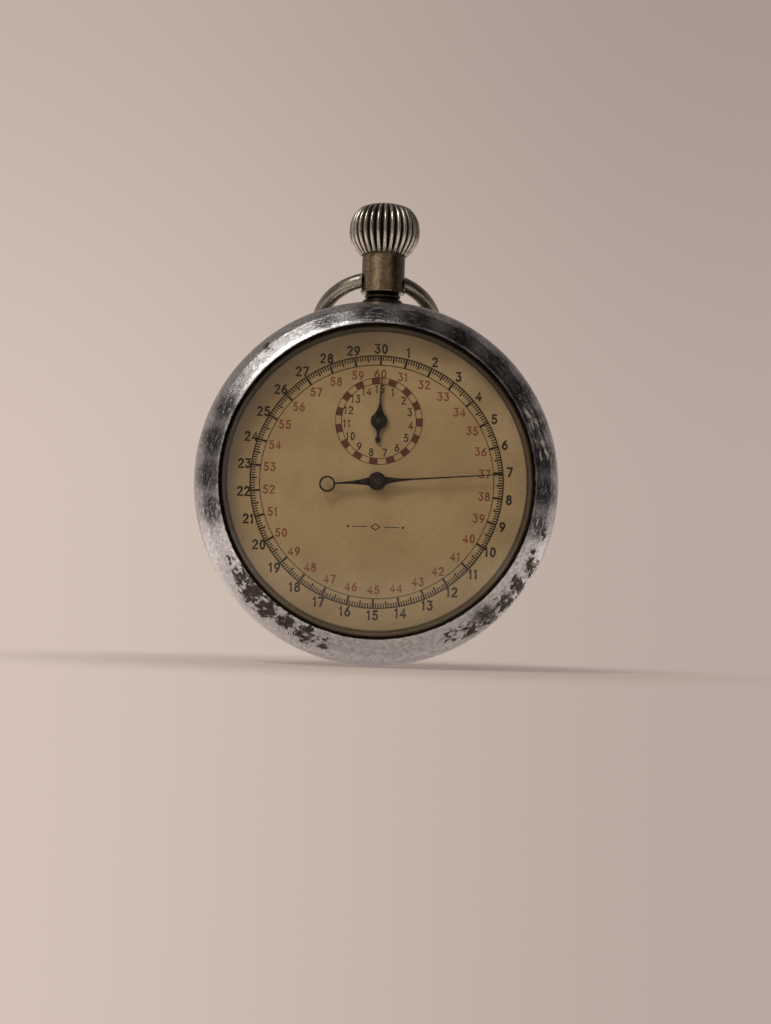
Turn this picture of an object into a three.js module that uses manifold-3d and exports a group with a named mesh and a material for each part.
// Mechanical stopwatch: a round open-face case with a fluted crown on a pendant, a swinging
// bow, a sweep hand that turns once in thirty seconds, a fifteen-minute register hand and the
// movement inside.
//
// Millimetres. The watch is built lying on its back: x to the right, y toward the crown,
// z toward the reader, z = 0 on the flat of the case back. It is stood upright at the end.

import * as THREE from 'three';
import { mergeVertices } from 'three/addons/utils/BufferGeometryUtils.js';
import Module from 'manifold-3d';

const wasm = await Module();
wasm.setup();

// ---------------------------------------------------------------- driving dimensions

const CASE_R = 25.35;               // widest radius of the band
const BACK_SPLIT_Z = 3.45;          // joint between case back and band
const BEZEL_SEAT_Z = 8.6;           // joint between band and bezel
const OPENING_R = 21.4;             // clear opening of the bezel
const CRYSTAL_TOP_Z = 14.5;
const DIAL = { r: 22.3, back: 10.0, front: 10.3 };
const PLATE = { r: 21.5, back: 7.0, front: 8.2 };
const BRIDGE = { r: 20.2, back: 2.7, front: 3.85 };
const LEVER = { back: 1.5, front: 2.0 };
const GAP = 0.05;                   // clearance between neighbouring pieces

const STEM_Z = 6.0;                 // height of the winding axis
const PENDANT_R = 3.0;
const PENDANT_TOP_Y = 32.4;
const CROWN_R = 4.95;
const CROWN_BOTTOM_Y = 32.05;
const CROWN_TOP_Y = 39.35;
const CROWN_FLUTES = 30;

const BOW_PIVOT_Y = 28.2;
const BOW_RING_R = 8.25;            // to the middle of the wire
const BOW_WIRE_R = 1.05;
const BOW_END_X = PENDANT_R + GAP;  // the wire ends beside the pendant
const BOW_REST = 138;               // degrees it hangs back from upright
const BOW_SKEW = 4.5;               // degrees the ring is bent toward the left

const SWEEP_SECONDS = 7.1;          // time shown
const SWEEP_TIP_R = 17.4;
const REGISTER_TIP_R = 6.2;

// ---------------------------------------------------------------- layout of the movement

const rad = THREE.MathUtils.degToRad;

function polar(r, degrees, [x, y] = [0, 0]) {
  return [x + r * Math.cos(rad(degrees)), y + r * Math.sin(rad(degrees))];
}

// The point at distance ra from a and rb from b, on the left of the way from a to b.
function meet([ax, ay], ra, [bx, by], rb) {
  const d = Math.hypot(bx - ax, by - ay);
  const along = (ra * ra - rb * rb + d * d) / (2 * d);
  const aside = Math.sqrt(ra * ra - along * along);
  const [ux, uy] = [(bx - ax) / d, (by - ay) / d];
  return [ax + along * ux - aside * uy, ay + along * uy + aside * ux];
}

function direction([ax, ay], [bx, by]) {
  return Math.atan2(by - ay, bx - ax);
}

// Each pair: teeth of the wheel, teeth of the pinion it meets, module.
const PAIRS = {
  barrel: { wheel: 48, pinion: 6, module: 0.3 },
  second: { wheel: 42, pinion: 6, module: 0.25 },
  third: { wheel: 36, pinion: 6, module: 5.4 / 21 },
  sweep: { wheel: 60, pinion: 6, module: 0.16 },
  recorder: { wheel: 36, pinion: 6, module: 0.18 },
  register: { wheel: 30, pinion: 6, module: 0.26 },
  winding: { wheel: 35, pinion: 24, module: 0.3 },
};
const spacing = ({ wheel, pinion, module }) => (wheel + pinion) * module / 2;

const CENTRE = [0, 0];
const REGISTER = [0, 8.3];
const CROWN_WHEEL = [0, 13];
const BARREL = meet(CENTRE, 12.68, CROWN_WHEEL, spacing(PAIRS.winding));
const THIRD = polar(spacing(PAIRS.third), 215);
const SECOND = meet(THIRD, spacing(PAIRS.second), BARREL, spacing(PAIRS.barrel));
const ESCAPE = polar(spacing(PAIRS.sweep), -60);
const FORK = polar(3.0, -45, ESCAPE);
const BALANCE = polar(3.3, -45, FORK);
const FORK_POST = polar(3.0, 45, FORK);
const RECORDER = meet(REGISTER, spacing(PAIRS.register), CENTRE, spacing(PAIRS.recorder));

const CLICK = polar(7.0, 80, BARREL);
const COLUMN = [8.0, 8.5];
const OPERATING = [12.5, 12.0];
const HAMMER = [4.6, 11.6];
const BRAKE = [14.5, 5.0];
const PUSH_LUG = [0, 19.4];
const BRAKE_LUG = polar(6.1, 75, BALANCE);
const BRIDGE_SCREWS = [polar(18.8, 60), polar(18.95, 103.5)];
const TRAIN_SCREW = polar(17.6, 228);
const COCK_SCREW = polar(17.4, -14);
const DIAL_FEET = [20, 150, 265].map((degrees) => polar(19.6, degrees));

// ---------------------------------------------------------------- materials

function material(color, roughness, metalness, extra = {}) {
  return new THREE.MeshStandardMaterial({ color, roughness, metalness, ...extra });
}

const CHROME = material('#b5afb2', 0.22, 1);
const NICKEL = material('#8d8576', 0.38, 1);
const GILT = material('#a98a52', 0.35, 1);
const BRASS = material('#b4924a', 0.3, 1);
const STEEL = material('#a9acb0', 0.25, 1);
const BLACK_STEEL = material('#1c1b1d', 0.4, 0.8);
const BLUE_STEEL = material('#2c3c66', 0.3, 1);
const LACQUER = material('#8d7950', 0.6, 0);
const RUBY = material('#a3233d', 0.12, 0);
const GLASS = material('#eef2f0', 0.05, 0, { transparent: true, opacity: 0.18 });

// ---------------------------------------------------------------- shape helpers

function circle(r, points = 12, [x, y] = [0, 0]) {
  const step = 2 * Math.PI / points;
  const corners = Array.from({ length: points }, (_, i) => (
    new THREE.Vector2(x + r * Math.cos(i * step), y + r * Math.sin(i * step))));
  return new THREE.Path(corners);
}

function plan(path, holes = []) {
  const shape = new THREE.Shape(path.getPoints(8));
  shape.holes.push(...holes);
  return shape;
}

function polygon(corners) {
  return new THREE.Shape(corners.map(([x, y]) => new THREE.Vector2(x, y)));
}

function sector(inner, outer, from, to) {
  const path = new THREE.Path();
  path.absarc(0, 0, outer, rad(from), rad(to), false);
  path.absarc(0, 0, inner, rad(to), rad(from), true);
  return path;
}

// Solid ring sector.
function sectorShape(inner, outer, from, to) {
  return new THREE.Shape(sector(inner, outer, from, to).getPoints(3));
}

function slab(shape, back, front, curveSegments = 6) {
  const depth = front - back;
  const geometry = new THREE.ExtrudeGeometry(shape, { depth, bevelEnabled: false, curveSegments });
  return geometry.translate(0, 0, back);
}

// Round piece about the z axis from [radius, z] corners or from a curve of them.
function turned(profile, segments = 24) {
  return spun(profile, segments).rotateX(Math.PI / 2);
}

// Round piece about the y axis.
function spun(profile, segments = 24) {
  const corners = Array.isArray(profile)
    ? profile.map(([r, y]) => new THREE.Vector2(r, y))
    : profile.getPoints(3);
  return new THREE.LatheGeometry(corners, segments);
}

function disc(r, back, front, segments = 16) {
  return turned([[0, back], [r, back], [r, front], [0, front]], segments);
}

function ring(inner, outer, back, front, segments = 24) {
  const corners = [[inner, back], [outer, back], [outer, front], [inner, front], [inner, back]];
  return turned(corners, segments);
}

function box(width, height, depth, x, y, z) {
  return new THREE.BoxGeometry(width, height, depth).translate(x, y, z);
}

// Flat bar with round ends from a to b.
function bar([ax, ay], [bx, by], halfA, halfB, back, front) {
  const along = Math.atan2(by - ay, bx - ax);
  const path = new THREE.Path();
  path.absarc(ax, ay, halfA, along + Math.PI / 2, along + Math.PI * 1.5, false);
  path.absarc(bx, by, halfB, along - Math.PI / 2, along + Math.PI / 2, false);
  return slab(new THREE.Shape(path.getPoints(4)), back, front);
}

const at = (geometry, [x, y]) => geometry.translate(x, y, 0);

// ---------------------------------------------------------------- solid cutting and joining

function toSolid(geometry) {
  const bare = geometry.clone();
  bare.deleteAttribute('normal');
  bare.deleteAttribute('uv');
  const merged = mergeVertices(bare, 1e-4);
  const corners = Array.from(merged.index.array);
  const triVerts = [];
  for (let i = 0; i < corners.length; i += 3) {
    const [a, b, c] = corners.slice(i, i + 3);
    if (a !== b && b !== c && c !== a) {
      triVerts.push(a, b, c);
    }
  }
  return new wasm.Manifold(new wasm.Mesh({
    numProp: 3,
    vertProperties: new Float32Array(merged.attributes.position.array),
    triVerts: new Uint32Array(triVerts),
  }));
}

function toGeometry(solid) {
  const mesh = solid.getMesh();
  const geometry = new THREE.BufferGeometry();
  geometry.setAttribute('position', new THREE.Float32BufferAttribute(mesh.vertProperties, 3));
  geometry.setIndex(Array.from(mesh.triVerts));
  const faceted = geometry.toNonIndexed();
  faceted.computeVertexNormals();
  return faceted;
}

const join = (first, ...others) => toGeometry(
  others.reduce((sum, part) => sum.add(toSolid(part)), toSolid(first)));

const cut = (body, ...tools) => toGeometry(
  tools.reduce((rest, tool) => rest.subtract(toSolid(tool)), toSolid(body)));

// ---------------------------------------------------------------- toothed wheels

// Pointed teeth: the half width at the root is a fraction of the tooth spacing.
function toothed(teeth, module, phase = 0) {
  const pitchR = teeth * module / 2;
  const step = 2 * Math.PI / teeth;
  const flank = [
    [-0.33, pitchR - 0.85 * module],
    [0, pitchR + 0.75 * module],
    [0.33, pitchR - 0.85 * module],
  ];
  const corners = [];
  for (let tooth = 0; tooth < teeth; tooth += 1) {
    for (const [offset, r] of flank) {
      const angle = phase + (tooth + offset) * step;
      corners.push([r * Math.cos(angle), r * Math.sin(angle)]);
    }
  }
  return polygon(corners);
}

// Turn of a pinion so that its gaps face the teeth of a wheel with no turn of its own.
function meshTurn(wheelTeeth, pinionTeeth, wheelAt, pinionAt, wheelTurn = 0) {
  const toward = direction(wheelAt, pinionAt);
  const lag = (wheelTeeth / pinionTeeth) * (wheelTurn - toward);
  return toward + Math.PI - lag + Math.PI / pinionTeeth;
}

// Wheel with three arms: rim, arms and hub around a bore.
function armedWheel({ teeth, module, phase, bore, hub, back, front }) {
  const rootR = teeth * module / 2 - 0.85 * module;
  const outline = toothed(teeth, module, phase);
  outline.holes.push(circle(bore, 8));
  for (let arm = 0; arm < 3; arm += 1) {
    outline.holes.push(sector(hub, rootR - 0.45, arm * 120 + 10, arm * 120 + 110));
  }
  return slab(outline, back, front, 3);
}

// Arbor with six cut leaves.
function leafedArbor({ module, phase, shaft, ends, leaves }) {
  return join(
    disc(shaft, ends[0], ends[1], 8),
    slab(toothed(6, module, phase), leaves[0], leaves[1]),
  );
}

// ---------------------------------------------------------------- case

function middleCase() {
  const outline = new THREE.Path();
  outline.moveTo(21.9, BACK_SPLIT_Z);
  outline.lineTo(23.6, BACK_SPLIT_Z);
  outline.quadraticCurveTo(CASE_R - 0.1, 4.0, CASE_R, 6.2);
  outline.quadraticCurveTo(CASE_R, 7.8, CASE_R - 0.45, BEZEL_SEAT_Z);
  outline.lineTo(22.9, BEZEL_SEAT_Z);
  outline.lineTo(22.9, 9.6);
  outline.lineTo(21.6, 9.6);
  outline.lineTo(21.6, PLATE.back - GAP);
  outline.lineTo(20.7, PLATE.back - GAP);
  outline.lineTo(20.7, 5.4);
  outline.lineTo(21.9, 4.9);
  outline.lineTo(21.9, BACK_SPLIT_Z);
  const band = turned(outline, 44);
  const pendantHole = spun([[0, 20], [2.05, 20], [2.05, 26], [0, 26]], 28).translate(0, 0, STEM_Z);
  const seat = spun([[0, 24.95], [2.9, 24.95], [2.9, 27], [0, 27]], 28).translate(0, 0, STEM_Z);
  return cut(band, pendantHole, seat);
}

// Snap-on back with an inner rim and a small lip to prise it off by.
function caseBack() {
  const outline = new THREE.Path();
  outline.moveTo(0, 0);
  outline.lineTo(16, 0);
  outline.quadraticCurveTo(22.4, 0.4, 23.35, 2.9);
  outline.lineTo(23.35, BACK_SPLIT_Z - GAP);
  outline.lineTo(21.75, BACK_SPLIT_Z - GAP);
  outline.lineTo(21.75, 4.1);
  outline.lineTo(21.3, 4.1);
  outline.lineTo(21.3, 2.8);
  outline.quadraticCurveTo(20.6, 0.9, 15.5, 0.6);
  outline.lineTo(0, 0.6);
  const openingLip = slab(sectorShape(22.9, 24.0, 263, 277), 2.5, BACK_SPLIT_Z - GAP);
  return join(turned(outline, 36), openingLip);
}

function bezel() {
  const outline = new THREE.Path();
  outline.moveTo(22.95, BEZEL_SEAT_Z + GAP);
  outline.lineTo(CASE_R - 0.5, BEZEL_SEAT_Z + GAP);
  outline.quadraticCurveTo(CASE_R - 0.05, 9.9, 24.6, 10.9);
  outline.quadraticCurveTo(24.1, 11.5, 22.9, 12.25);
  outline.quadraticCurveTo(22.1, 12.85, 21.65, 13.05);
  outline.lineTo(OPENING_R, 12.9);
  outline.lineTo(OPENING_R, 11.72);
  outline.lineTo(22.1, 11.72);
  outline.lineTo(22.1, 11.2);
  outline.lineTo(21.3, 11.2);
  outline.lineTo(21.3, DIAL.front + 0.1);
  outline.lineTo(22.4, DIAL.front + 0.1);
  outline.lineTo(22.4, 9.7);
  outline.lineTo(22.95, 9.7);
  outline.lineTo(22.95, BEZEL_SEAT_Z + GAP);
  return turned(outline, 44);
}

function crystal() {
  const outline = new THREE.Path();
  outline.moveTo(0, CRYSTAL_TOP_Z - 0.9);
  outline.quadraticCurveTo(14, CRYSTAL_TOP_Z - 1.0, 20.6, 12.1);
  outline.lineTo(20.6, 11.25);
  outline.lineTo(22.05, 11.25);
  outline.lineTo(22.05, 11.65);
  outline.lineTo(21.3, 11.65);
  outline.lineTo(21.3, 12.5);
  outline.quadraticCurveTo(14, CRYSTAL_TOP_Z - 0.1, 0, CRYSTAL_TOP_Z);
  return turned(outline, 32);
}

function pendant() {
  const outline = new THREE.Path();
  outline.moveTo(1.55, 21.75);
  outline.lineTo(2.0, 21.75);
  outline.lineTo(2.0, 25.0);
  outline.lineTo(2.8, 25.0);
  outline.lineTo(2.8, 25.6);
  outline.lineTo(2.2, 25.75);
  outline.quadraticCurveTo(2.75, 26.15, 2.2, 26.6);
  outline.lineTo(3.1, 26.7);
  outline.lineTo(3.1, 26.95);
  outline.lineTo(PENDANT_R, 27.05);
  outline.lineTo(PENDANT_R, PENDANT_TOP_Y - 0.2);
  outline.lineTo(PENDANT_R - 0.2, PENDANT_TOP_Y);
  outline.lineTo(1.55, PENDANT_TOP_Y);
  outline.lineTo(1.55, 21.75);
  const socket = new THREE.CylinderGeometry(0.78, 0.78, 3, 12).rotateZ(Math.PI / 2);
  const sockets = [3.5, -3.5].map((x) => socket.clone().translate(x, BOW_PIVOT_Y, 0));
  return cut(spun(outline, 22), ...sockets);
}

// ---------------------------------------------------------------- bow

const FRONT_AXIS = new THREE.Vector3(0, 0, 1);

class BowCurve extends THREE.Curve {
  getPoint(t, target = new THREE.Vector3()) {
    const centreY = Math.sqrt(BOW_RING_R ** 2 - BOW_END_X ** 2);
    const start = -Math.asin(centreY / BOW_RING_R) - 0.06;
    const angle = start + t * (Math.PI - 2 * start);
    target.set(BOW_RING_R * Math.cos(angle), centreY + BOW_RING_R * Math.sin(angle), 0);
    return target.applyAxisAngle(FRONT_AXIS, rad(BOW_SKEW));
  }
}

// Open ring of wire with both ends cut flat beside the pendant and a pivot on each.
function bow() {
  const section = new THREE.Shape(circle(BOW_WIRE_R, 10).getPoints());
  const wire = new THREE.ExtrudeGeometry(section, { steps: 30, extrudePath: new BowCurve() });
  const trimmed = cut(wire, box(2 * BOW_END_X, 4, 4, 0, 0, 0));
  const pivot = new THREE.CylinderGeometry(0.7, 0.7, 1.8, 10).rotateZ(Math.PI / 2);
  return join(trimmed, pivot.clone().translate(3, 0, 0), pivot.clone().translate(-3, 0, 0));
}

// ---------------------------------------------------------------- crown and winding

// Onion crown: two lathe segments to a flute, every second one drawn in.
function crown() {
  const outline = new THREE.Path();
  outline.moveTo(0, CROWN_BOTTOM_Y);
  outline.lineTo(3.35, CROWN_BOTTOM_Y);
  outline.quadraticCurveTo(4.85, 33.3, CROWN_R, 35.3);
  outline.quadraticCurveTo(CROWN_R, 37.5, 3.5, 38.65);
  outline.quadraticCurveTo(2.1, CROWN_TOP_Y, 0, CROWN_TOP_Y);
  const body = spun(outline, CROWN_FLUTES * 2);
  const rows = outline.getPoints(3).length;
  const position = body.attributes.position;
  for (let i = 0; i < position.count; i += 1) {
    const rise = (position.getY(i) - CROWN_BOTTOM_Y) / (CROWN_TOP_Y - CROWN_BOTTOM_Y);
    const inFlute = Math.floor(i / rows) % 2;
    const shrink = 1 - inFlute * 0.09 * Math.sin(Math.PI * Math.min(1, rise * 1.15));
    position.setX(i, position.getX(i) * shrink);
    position.setZ(i, position.getZ(i) * shrink);
  }
  const skirt = spun([[0, 31], [3.12, 31], [3.12, 34.5], [0, 34.5]], 28);
  const stemHole = spun([[0, 34], [0.75, 34], [0.75, 36.6], [0, 36.6]], 12);
  return cut(body, skirt, stemHole);
}

function pushSleeve() {
  return spun([[0.78, 20], [1.48, 20], [1.48, 34.4], [0.78, 34.4], [0.78, 20]], 20);
}

function windingStem() {
  return spun([[0, 15], [0.7, 15], [0.7, 36.5], [0, 36.5]], 12);
}

function windingPinion() {
  const outline = toothed(18, 0.28);
  outline.holes.push(circle(0.76, 12));
  return slab(outline, -17.3, -15.9).rotateX(Math.PI / 2);
}

function crownWheel() {
  const { wheel, pinion, module } = PAIRS.winding;
  const turn = meshTurn(wheel, pinion, BARREL, CROWN_WHEEL);
  return join(slab(toothed(pinion, module, turn), 2.6, 3.25), disc(0.6, 3.0, 3.8, 12));
}

function ratchetWheel() {
  const outline = toothed(PAIRS.winding.wheel, PAIRS.winding.module);
  outline.holes.push(circle(0.95, 12));
  return slab(outline, 2.6, 3.25);
}

function click() {
  const nose = direction(CLICK, BARREL);
  const tip = [1.25 * Math.cos(nose), 1.25 * Math.sin(nose)];
  return join(bar([0, 0], tip, 0.6, 0.18, 2.65, 3.2), disc(0.35, 3.0, 3.7, 10));
}

function clickSpring() {
  return slab(plan(sector(1.45, 1.6, 95, 215)), 2.75, 3.05);
}

// ---------------------------------------------------------------- plates and bridges

function mainplate() {
  const channel = [[3.1, 15.6], [-3.1, 15.6]];
  const lip = (Math.acos(3.1 / PLATE.r) * 180) / Math.PI;
  const path = new THREE.Path();
  path.absarc(0, 0, PLATE.r, rad(180 - lip), rad(360 + lip), false);
  const corners = path.getPoints(44).map(({ x, y }) => [x, y]);
  const outline = polygon([...corners, ...channel]);
  const pivots = [SECOND, THIRD, ESCAPE, FORK, BALANCE, RECORDER];
  outline.holes.push(circle(0.55, 12), circle(0.45, 12, REGISTER), circle(0.95, 12, BARREL));
  outline.holes.push(...pivots.map((spot) => circle(0.25, 8, spot)));
  outline.holes.push(...DIAL_FEET.map((spot) => circle(0.5, 8, spot)));
  const screws = [...BRIDGE_SCREWS, TRAIN_SCREW, COCK_SCREW];
  outline.holes.push(...screws.map((spot) => circle(0.55, 10, spot)));
  return slab(outline, PLATE.back, PLATE.front);
}

function foot(inner, outer, from, to) {
  return slab(plan(sector(inner, outer, from, to)), BRIDGE.front - 0.3, PLATE.back - GAP);
}

function well(r, spot, depth = 0.6) {
  return at(disc(r, BRIDGE.back - 1, BRIDGE.back + depth, 20), spot);
}

function bore(r, spot, segments = 8) {
  return at(disc(r, 0, 9, segments), spot);
}

// Upper half plate: carries the winding wheels and the start, stop and reset levers.
function barrelBridge() {
  const lowEdge = 3.3;
  const from = (Math.asin(lowEdge / BRIDGE.r) * 180) / Math.PI;
  const notch = (Math.acos(3.15 / BRIDGE.r) * 180) / Math.PI;
  const path = new THREE.Path();
  path.absarc(0, 0, BRIDGE.r, rad(from), rad(notch), false);
  path.lineTo(3.15, 15.4);
  path.lineTo(-3.15, 15.4);
  path.absarc(0, 0, BRIDGE.r, rad(180 - notch), rad(180 - from), false);
  const plate = slab(new THREE.Shape(path.getPoints(12)), BRIDGE.back, BRIDGE.front);
  const posts = [COLUMN, OPERATING, HAMMER, BRAKE].map((spot) => bore(0.42, spot, 10));
  return cut(
    join(plate, foot(17.2, 20.2, 30, 75), foot(17.8, 20.2, 99.5, 107)),
    well(5.75, BARREL), well(4.1, CROWN_WHEEL), well(1.9, CLICK, 0.6),
    bore(0.95, BARREL, 14), bore(0.65, CROWN_WHEEL, 12), bore(0.4, CLICK, 10), bore(0.4, REGISTER),
    ...BRIDGE_SCREWS.map((spot) => bore(0.55, spot, 10)),
    ...posts,
  );
}

// Lower bridge: top bearings of the second, third, sweep and escape arbors.
function trainBridge() {
  const topEdge = 3.1;
  const from = 180 - (Math.asin(topEdge / BRIDGE.r) * 180) / Math.PI;
  const path = new THREE.Path();
  path.absarc(0, 0, BRIDGE.r, rad(from), rad(268), false);
  path.lineTo(-0.2, -12);
  path.lineTo(1.2, -8.2);
  path.lineTo(4.2, -5.9);
  path.quadraticCurveTo(5.4, -1.5, 5.4, topEdge);
  const plate = slab(new THREE.Shape(path.getPoints(14)), BRIDGE.back, BRIDGE.front);
  const jewelled = [CENTRE, THIRD, ESCAPE].map((spot) => bore(0.85, spot, 12));
  return cut(
    join(plate, foot(15.2, 20.2, 195, 262)),
    bore(0.25, SECOND, 8), bore(0.55, TRAIN_SCREW, 10), ...jewelled,
  );
}

function balanceCock() {
  const base = slab(plan(sector(14.6, 20.2, -27, -2)), BRIDGE.back, PLATE.back - GAP);
  const arm = bar(polar(16.4, -16), BALANCE, 2.6, 1.9, BRIDGE.back, BRIDGE.front);
  return cut(join(base, arm), bore(0.85, BALANCE, 12), bore(0.55, COCK_SCREW, 10));
}

function palletBridge() {
  const arm = bar(FORK, FORK_POST, 0.6, 0.7, 5.7, 6.1);
  const post = at(disc(0.58, 5.9, PLATE.back - GAP, 12), FORK_POST);
  return cut(join(arm, post), bore(0.23, FORK, 8));
}

function jewel(hole) {
  return ring(hole, 0.8, BRIDGE.back + 0.05, BRIDGE.front - 0.05, 12);
}

function bridgeScrew() {
  const head = [0.95, BRIDGE.back - GAP];
  const profile = [[0, 2.2], [0.95, 2.2], head, [0.5, head[1]], [0.5, 7.9], [0, 7.9]];
  return cut(turned(profile, 10), box(3, 0.28, 0.5, 0, 0, 2.2));
}

// ---------------------------------------------------------------- dial and hands

function dial() {
  const outline = plan(circle(DIAL.r, 48), [circle(0.5, 12), circle(0.4, 12, REGISTER)]);
  const feet = DIAL_FEET.map((spot) => at(disc(0.45, 7.3, DIAL.back + 0.1, 8), spot));
  return join(slab(outline, DIAL.back, DIAL.front), ...feet);
}

// Pointer with swelling shoulders at the hub, drawn along +y.
function sweepHand() {
  const [back, front] = [11.15, 11.4];
  const pointer = polygon([
    [-0.2, -4], [0.2, -4], [0.42, -2.2], [1.05, -0.9], [1.05, 0.9], [0.4, 2.0],
    [0.18, 3.4], [0.07, SWEEP_TIP_R], [-0.07, SWEEP_TIP_R], [-0.18, 3.4], [-0.4, 2.0],
    [-1.05, 0.9], [-1.05, -0.9], [-0.42, -2.2],
  ]);
  const tail = box(0.36, 2.2, front - back, 0, -4.9, (back + front) / 2);
  const loop = ring(0.82, 1.1, back, front, 20).translate(0, -6.8, 0);
  const hub = disc(1.25, back, front + 0.15, 20);
  return cut(join(slab(pointer, back, front), tail, loop, hub), bore(0.38, CENTRE).translate(0, 0, 5));
}

function registerHand() {
  const [back, front] = [10.6, 10.8];
  const outline = polygon([
    [0, -3.2], [0.4, -2.6], [0.16, -2.0], [0.3, -1.2], [0.95, -0.6], [0.95, 0.6], [0.42, 1.8],
    [0.07, REGISTER_TIP_R], [-0.07, REGISTER_TIP_R], [-0.42, 1.8], [-0.95, 0.6],
    [-0.95, -0.6], [-0.3, -1.2], [-0.16, -2.0], [-0.4, -2.6],
  ]);
  const hub = disc(1.15, back, front + 0.1, 20);
  return cut(join(slab(outline, back, front), hub), bore(0.33, CENTRE).translate(0, 0, 5));
}

// ---------------------------------------------------------------- going train

function spiral(inner, outer, turns, thickness, back, front) {
  const steps = turns * 12;
  const edge = (offset) => Array.from({ length: steps + 1 }, (_, i) => (
    polar(inner + offset + (outer - inner) * (i / steps), i * 30)));
  return slab(polygon([...edge(thickness / 2), ...edge(-thickness / 2).reverse()]), back, front);
}

function barrelDrum() {
  const cup = turned([
    [0.95, 6.35], [6.55, 6.35], [6.55, 4.7], [6.9, 4.7], [6.9, 6.7], [0.95, 6.7], [0.95, 6.35],
  ], 30);
  const teeth = toothed(PAIRS.barrel.wheel, PAIRS.barrel.module);
  teeth.holes.push(circle(6.75, 30));
  return join(cup, slab(teeth, 6.1, 6.6));
}

function barrelCover() {
  return ring(0.95, 6.5, 4.75, 5.0, 30);
}

function barrelArbor() {
  return turned([
    [0, 2.45], [0.9, 2.45], [0.9, 5.05], [1.3, 5.05], [1.3, 6.3], [0.9, 6.3], [0.9, 7.9], [0, 7.9],
  ], 12);
}

// Heart-shaped cam: falls from the peak to the notch evenly on both sides.
function heart(bore) {
  const corners = Array.from({ length: 24 }, (_, i) => {
    const turn = (i + 0.5) / 24;
    const drop = Math.abs(2 * turn - 1);
    return polar(0.75 + 0.8 * (1 - drop), 360 * turn);
  });
  const outline = polygon(corners);
  outline.holes.push(circle(bore, 10));
  return slab(outline, LEVER.back, LEVER.front);
}

function escapeWheel() {
  const corners = [];
  for (let tooth = 0; tooth < 15; tooth += 1) {
    corners.push(polar(1.9, tooth * 24), polar(2.5, tooth * 24 + 10));
    corners.push(polar(2.45, tooth * 24 + 13), polar(1.9, tooth * 24 + 9));
  }
  const outline = polygon(corners);
  outline.holes.push(circle(0.24, 8));
  for (let arm = 0; arm < 3; arm += 1) {
    outline.holes.push(sector(0.6, 1.6, arm * 120 + 18, arm * 120 + 102));
  }
  return slab(outline, 6.3, 6.55, 2);
}

// Lever toward the balance and two pallets around the escape wheel, drawn along +x.
function palletFork() {
  const [back, front] = [6.3, 6.6];
  const lever = bar([0, 0], [1.7, 0], 0.5, 0.24, back, front);
  const arms = [1, -1].map((side) => {
    const elbow = [-0.25, side * 2.1];
    const pallet = [-1.3, side * 2.45];
    return join(
      bar([0, 0], elbow, 0.32, 0.24, back, front),
      bar(elbow, pallet, 0.22, 0.16, back, front),
    );
  });
  const prongs = [1, -1].map((side) => bar([1.7, 0], [2.2, side * 0.5], 0.2, 0.12, back, front));
  return join(lever, ...arms, ...prongs, disc(0.19, 5.75, 7.8, 8));
}

function balanceWheel() {
  const rim = ring(4.3, 4.9, 4.9, 5.4, 30);
  const hub = disc(0.7, 4.95, 5.35, 12);
  const crossbar = box(8.8, 0.7, 0.3, 0, 0, 5.15);
  const screw = new THREE.CylinderGeometry(0.2, 0.2, 0.8, 5).rotateZ(Math.PI / 2);
  const screws = Array.from({ length: 8 }, (_, i) => (
    screw.clone().translate(5.0, 0, 5.15).rotateZ(rad(45 * i + 22.5))));
  return cut(join(rim, hub, crossbar, ...screws), bore(0.24, CENTRE, 8));
}

function balanceStaff() {
  const staff = turned([
    [0, 2.9], [0.2, 2.9], [0.2, 6.0], [0.75, 6.0], [0.75, 6.15], [0.2, 6.15], [0.2, 7.8], [0, 7.8],
  ], 12);
  return join(staff, disc(0.12, 6.1, 6.55, 6).translate(-0.6, 0, 0));
}

function hairspringStud() {
  return disc(0.3, BRIDGE.front + GAP, 4.5, 8).translate(2.95, 0, 0);
}

// ---------------------------------------------------------------- start, stop and reset levers

function columnWheel() {
  const ratchet = toothed(12, 0.34);
  const parts = [disc(0.38, 2.3, 3.75, 10)];
  for (let column = 0; column < 6; column += 1) {
    const block = slab(sectorShape(0.7, 1.5, column * 60, column * 60 + 28), 1.3, 2.2);
    parts.push(block);
  }
  return join(slab(ratchet, 2.15, 2.5), ...parts);
}

// Levers are drawn around their own pivots; spot() gives a place seen from the pivot.
const spot = ([px, py], [x, y]) => [x - px, y - py];

function operatingLever() {
  const tip = spot(OPERATING, PUSH_LUG);
  const pawl = spot(OPERATING, polar(2.75, 48, COLUMN));
  return join(
    bar([0, 0], tip, 1.0, 0.55, 2.0, 2.45),
    bar([0, 0], pawl, 0.8, 0.25, 2.0, 2.45),
    disc(0.38, 2.3, 3.75, 10),
    at(disc(0.42, 2.2, 5.0, 10), tip),
  );
}

function resetHammer() {
  const upper = spot(HAMMER, [3.2, 8.3]);
  const lower = spot(HAMMER, [3.4, 0]);
  return join(
    bar([0, 0], upper, 0.9, 0.6, LEVER.back, LEVER.front),
    bar(upper, lower, 0.6, 0.45, LEVER.back, LEVER.front),
    at(box(1.3, 1.5, LEVER.front - LEVER.back, -0.5, 0, 1.75), upper),
    at(box(0.9, 1.5, LEVER.front - LEVER.back, -0.3, 0, 1.75), lower),
    disc(0.38, 1.8, 3.75, 10),
  );
}

function brakeLever() {
  const tip = spot(BRAKE, BRAKE_LUG);
  return join(
    bar([0, 0], tip, 0.9, 0.42, LEVER.back, LEVER.front),
    disc(0.38, 1.8, 3.75, 10),
    at(disc(0.3, 1.8, 5.3, 8), tip),
  );
}

// ---------------------------------------------------------------- assembly

const lying = new THREE.Group();

function group(parent, [x, y], z = 0) {
  const child = new THREE.Group();
  child.position.set(x, y, z);
  parent.add(child);
  return child;
}

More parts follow.
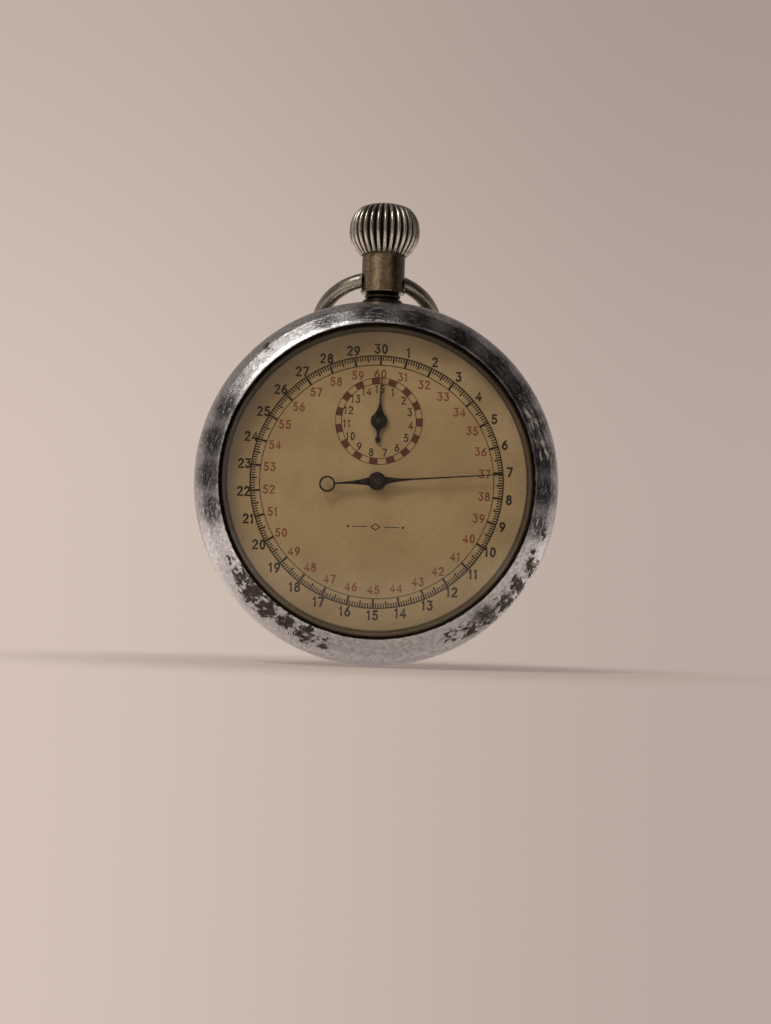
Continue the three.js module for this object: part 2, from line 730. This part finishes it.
function place(parent, name, geometry, surface, turn = 0) {
  const mesh = new THREE.Mesh(geometry, surface);
  mesh.name = name;
  mesh.rotation.z = turn;
  parent.add(mesh);
}

function addCase() {
  const stem = group(lying, CENTRE, STEM_Z);
  place(lying, 'middle_case', middleCase(), CHROME);
  place(lying, 'case_back', caseBack(), CHROME);
  place(lying, 'bezel', bezel(), CHROME);
  place(lying, 'crystal', crystal(), GLASS);
  place(stem, 'pendant', pendant(), NICKEL);
  const bowPivot = group(lying, [0, BOW_PIVOT_Y], STEM_Z);
  bowPivot.rotation.x = -rad(BOW_REST);
  place(bowPivot, 'bow', bow(), NICKEL);
}

function addWinding() {
  const stem = group(lying, CENTRE, STEM_Z);
  place(stem, 'crown', crown(), CHROME);
  place(stem, 'push_sleeve', pushSleeve(), STEEL);
  place(stem, 'winding_stem', windingStem(), STEEL);
  place(stem, 'winding_pinion', windingPinion(), STEEL);
  place(group(lying, CROWN_WHEEL), 'crown_wheel', crownWheel(), STEEL);
  const barrel = group(lying, BARREL);
  place(barrel, 'ratchet_wheel', ratchetWheel(), STEEL);
  place(barrel, 'barrel_arbor', barrelArbor(), STEEL);
  const clickPost = group(lying, CLICK);
  place(clickPost, 'click', click(), STEEL);
  place(clickPost, 'click_spring', clickSpring(), BLUE_STEEL);
}

function addPlates() {
  place(lying, 'mainplate', mainplate(), GILT);
  place(lying, 'barrel_bridge', barrelBridge(), GILT);
  place(lying, 'train_bridge', trainBridge(), GILT);
  place(lying, 'balance_cock', balanceCock(), GILT);
  place(lying, 'pallet_bridge', palletBridge(), GILT);
  const screws = [...BRIDGE_SCREWS, TRAIN_SCREW, COCK_SCREW];
  const names = ['barrel_bridge_screw_right', 'barrel_bridge_screw_left', 'train_bridge_screw',
    'balance_cock_screw'];
  screws.forEach((screwAt, i) => {
    place(group(lying, screwAt), names[i], bridgeScrew(), BLUE_STEEL, rad(35 * i));
  });
  place(group(lying, CENTRE), 'sweep_jewel', jewel(0.4), RUBY);
  place(group(lying, THIRD), 'third_jewel', jewel(0.25), RUBY);
  place(group(lying, ESCAPE), 'escape_jewel', jewel(0.25), RUBY);
  place(group(lying, BALANCE), 'balance_jewel', jewel(0.25), RUBY);
}

// Train from the barrel to the escape wheel, each pinion turned to meet its wheel.
function addTrain() {
  const { barrel, second, third, sweep } = PAIRS;
  const shaft = 0.2;
  const ends = [2.9, 7.8];
  const barrelAxis = group(lying, BARREL);
  place(barrelAxis, 'barrel_drum', barrelDrum(), BRASS);
  place(barrelAxis, 'barrel_cover', barrelCover(), BRASS);
  place(barrelAxis, 'mainspring', spiral(1.7, 6.2, 5, 0.22, 5.15, 6.2), BLUE_STEEL);

  const secondAxis = group(lying, SECOND);
  const secondTurn = meshTurn(barrel.wheel, 6, BARREL, SECOND);
  const secondWheel = { teeth: second.wheel, module: second.module, phase: 0 };
  place(secondAxis, 'second_wheel',
    armedWheel({ ...secondWheel, bore: 0.24, hub: 1.1, back: 4.05, front: 4.3 }), BRASS);
  place(secondAxis, 'second_pinion',
    leafedArbor({ module: barrel.module, phase: secondTurn, shaft, ends, leaves: [5.9, 6.8] }), STEEL);

  const thirdAxis = group(lying, THIRD);
  const thirdTurn = meshTurn(second.wheel, 6, SECOND, THIRD);
  const thirdWheel = { teeth: third.wheel, module: third.module, phase: 0 };
  place(thirdAxis, 'third_wheel',
    armedWheel({ ...thirdWheel, bore: 0.24, hub: 1.0, back: 5.2, front: 5.5 }), BRASS);
  place(thirdAxis, 'third_pinion',
    leafedArbor({ module: second.module, phase: thirdTurn, shaft, ends, leaves: [3.95, 4.5] }), STEEL);

  const sweepAxis = group(lying, CENTRE);
  const sweepTurn = meshTurn(third.wheel, 6, THIRD, CENTRE);
  const sweepWheel = { teeth: sweep.wheel, module: sweep.module, phase: 0 };
  const sweepShaft = { shaft: 0.35, ends: [1.45, 11.5], leaves: [5.05, 5.75] };
  place(sweepAxis, 'sweep_wheel',
    armedWheel({ ...sweepWheel, bore: 0.38, hub: 1.0, back: 4.6, front: 4.85 }), BRASS);
  place(sweepAxis, 'sweep_arbor',
    leafedArbor({ module: third.module, phase: sweepTurn, ...sweepShaft }), STEEL);
  place(sweepAxis, 'sweep_heart', heart(0.38), STEEL);
  place(sweepAxis, 'sweep_hand', sweepHand(), BLACK_STEEL, -rad(SWEEP_SECONDS * 6 * 2));

  const escapeAxis = group(lying, ESCAPE);
  const escapeTurn = meshTurn(sweep.wheel, 6, CENTRE, ESCAPE);
  place(escapeAxis, 'escape_pinion',
    leafedArbor({ module: sweep.module, phase: escapeTurn, shaft, ends, leaves: [4.4, 5.0] }), STEEL);
  place(escapeAxis, 'escape_wheel', escapeWheel(), STEEL);
}

function addEscapement() {
  place(group(lying, FORK), 'pallet_fork', palletFork(), STEEL, rad(-45));
  const balanceAxis = group(lying, BALANCE);
  place(balanceAxis, 'balance_wheel', balanceWheel(), BRASS);
  place(balanceAxis, 'balance_staff', balanceStaff(), STEEL, rad(-45));
  place(balanceAxis, 'hairspring', spiral(0.45, 2.4, 4, 0.09, 4.2, 4.4), BLUE_STEEL);
  place(balanceAxis, 'hairspring_stud', hairspringStud(), STEEL, rad(60));
}

// Minute recorder under the dial: sweep arbor, intermediate wheel, register wheel.
function addRecorder() {
  const { recorder, register } = PAIRS;
  const driver = toothed(6, recorder.module, 0);
  driver.holes.push(circle(0.37, 8));
  place(group(lying, CENTRE), 'recorder_driver', slab(driver, 8.5, 8.95), STEEL);

  const recorderAxis = group(lying, RECORDER);
  const wheelTurn = meshTurn(6, recorder.wheel, CENTRE, RECORDER);
  place(recorderAxis, 'recorder_wheel', armedWheel({
    teeth: recorder.wheel, module: recorder.module, phase: wheelTurn,
    bore: 0.24, hub: 0.9, back: 8.6, front: 8.85,
  }), BRASS);
  place(recorderAxis, 'recorder_pinion', leafedArbor({
    module: register.module, phase: 0, shaft: 0.2, ends: [7.3, 9.85], leaves: [9.0, 9.6],
  }), STEEL);

  const registerAxis = group(lying, REGISTER);
  const registerTurn = meshTurn(6, register.wheel, RECORDER, REGISTER);
  place(registerAxis, 'register_wheel', armedWheel({
    teeth: register.wheel, module: register.module, phase: registerTurn,
    bore: 0.33, hub: 1.0, back: 9.15, front: 9.4,
  }), BRASS);
  place(registerAxis, 'register_arbor', disc(0.3, 1.45, 10.95, 10), STEEL);
  place(registerAxis, 'register_heart', heart(0.33), STEEL);
  place(registerAxis, 'register_hand', registerHand(), BLACK_STEEL,
    -rad(SWEEP_SECONDS * 12 / 30));
}

function addLevers() {
  place(group(lying, COLUMN), 'column_wheel', columnWheel(), STEEL);
  place(group(lying, OPERATING), 'operating_lever', operatingLever(), STEEL);
  place(group(lying, HAMMER), 'reset_hammer', resetHammer(), STEEL);
  place(group(lying, BRAKE), 'brake_lever', brakeLever(), STEEL);
}

addCase();
addWinding();
addPlates();
place(lying, 'dial', dial(), LACQUER);
addTrain();
addEscapement();
addRecorder();
addLevers();

lying.rotation.x = Math.PI / 2;
const stopwatch = new THREE.Group();
stopwatch.name = 'stopwatch';
stopwatch.add(lying);

export default stopwatch;
